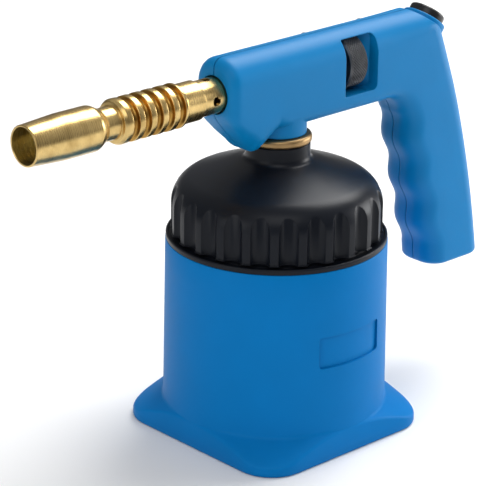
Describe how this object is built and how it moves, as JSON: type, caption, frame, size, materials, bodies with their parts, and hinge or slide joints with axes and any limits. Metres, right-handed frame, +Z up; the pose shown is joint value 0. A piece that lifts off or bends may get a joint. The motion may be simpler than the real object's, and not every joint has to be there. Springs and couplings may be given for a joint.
{
  "type": "propane torch",
  "caption": "Pistol-grip gas blow torch with a brass burner and piezo igniter, screwed by a fluted dome onto a square-footed cartridge container.",
  "frame": {"origin": "on the container's axis, at the underside of its foot", "axes": "+Z up; the burner points to -X and the grip is at +X; the foot's sides are parallel to X and Y; the bare plate recess faces -Y"},
  "size_m": [0.2583, 0.098, 0.174],
  "materials": {
    "blue_plastic": "satin",
    "cap_plastic": "semi-matte",
    "button_plastic": "gloss",
    "igniter_plastic": "matte",
    "plunger_plastic": "matte",
    "painted_tin": "gloss",
    "polished_brass": "polished",
    "turned_brass": "turned",
    "wheel_metal": "knurled, black anodised",
    "steel": "zinc plated",
    "stainless": "bright",
    "rubber": "matte",
    "fibre": "matte",
    "felt": "felt",
    "ceramic": "glazed",
    "lead_insulation": "matte"
  },
  "bodies": {
    "container": {"container": "blue_plastic", "cartridge": "painted_tin"},
    "gasket": {"cartridge_gasket": "rubber"},
    "head": {"dome_cap": "cap_plastic", "stem_washer": "fibre", "lock_ring": "polished_brass", "valve_body": "turned_brass", "piercing_needle": "stainless", "gas_filter": "felt", "gland_nut": "turned_brass", "jet_holder": "turned_brass", "gas_jet": "turned_brass", "burner_tube": "polished_brass", "burner_nozzle": "polished_brass", "flame_holder": "stainless", "electrode_insulator": "ceramic", "ignition_electrode": "stainless", "ignition_lead": "lead_insulation", "piezo_igniter": "igniter_plastic", "button_collar": "blue_plastic", "handle_left": "blue_plastic", "handle_right": "blue_plastic", "handle_screws": "steel"},
    "o_ring": {"spindle_o_ring": "rubber"},
    "spindle": {"valve_spindle": "stainless", "regulator_wheel": "wheel_metal", "wheel_screw": "steel"},
    "button": {"igniter_button": "button_plastic", "igniter_plunger": "plunger_plastic"}
  },
  "joints": [
    {"name": "head_lift", "type": "slide", "parent": "container", "child": "gasket", "axis": [0, 0, 1], "range_m": [0, 0.00801]},
    {"name": "head_unscrew", "type": "hinge", "parent": "gasket", "child": "head", "pos_m": [0, 0, 0.0945], "axis": [0, 0, 1], "range_deg": [0, 720]},
    {"name": "spindle_lift", "type": "slide", "parent": "head", "child": "o_ring", "axis": [1, 0, 0], "range_m": [0, 0.0009375]},
    {"name": "wheel_turn", "type": "hinge", "parent": "o_ring", "child": "spindle", "pos_m": [0.03, 0, 0.157], "axis": [1, 0, 0], "range_deg": [0, 450]},
    {"name": "button_press", "type": "slide", "parent": "head", "child": "button", "axis": [-0.6018, 0, -0.7986], "range_m": [0, 0.0035], "stiffness_N_per_m": 2500}
  ],
  "couplings": [
    {"joint": "head_lift", "follows": "head_unscrew", "m_per_rad": 0.0006366},
    {"joint": "wheel_turn", "follows": "spindle_lift", "rad_per_m": 8377.6}
  ]
}
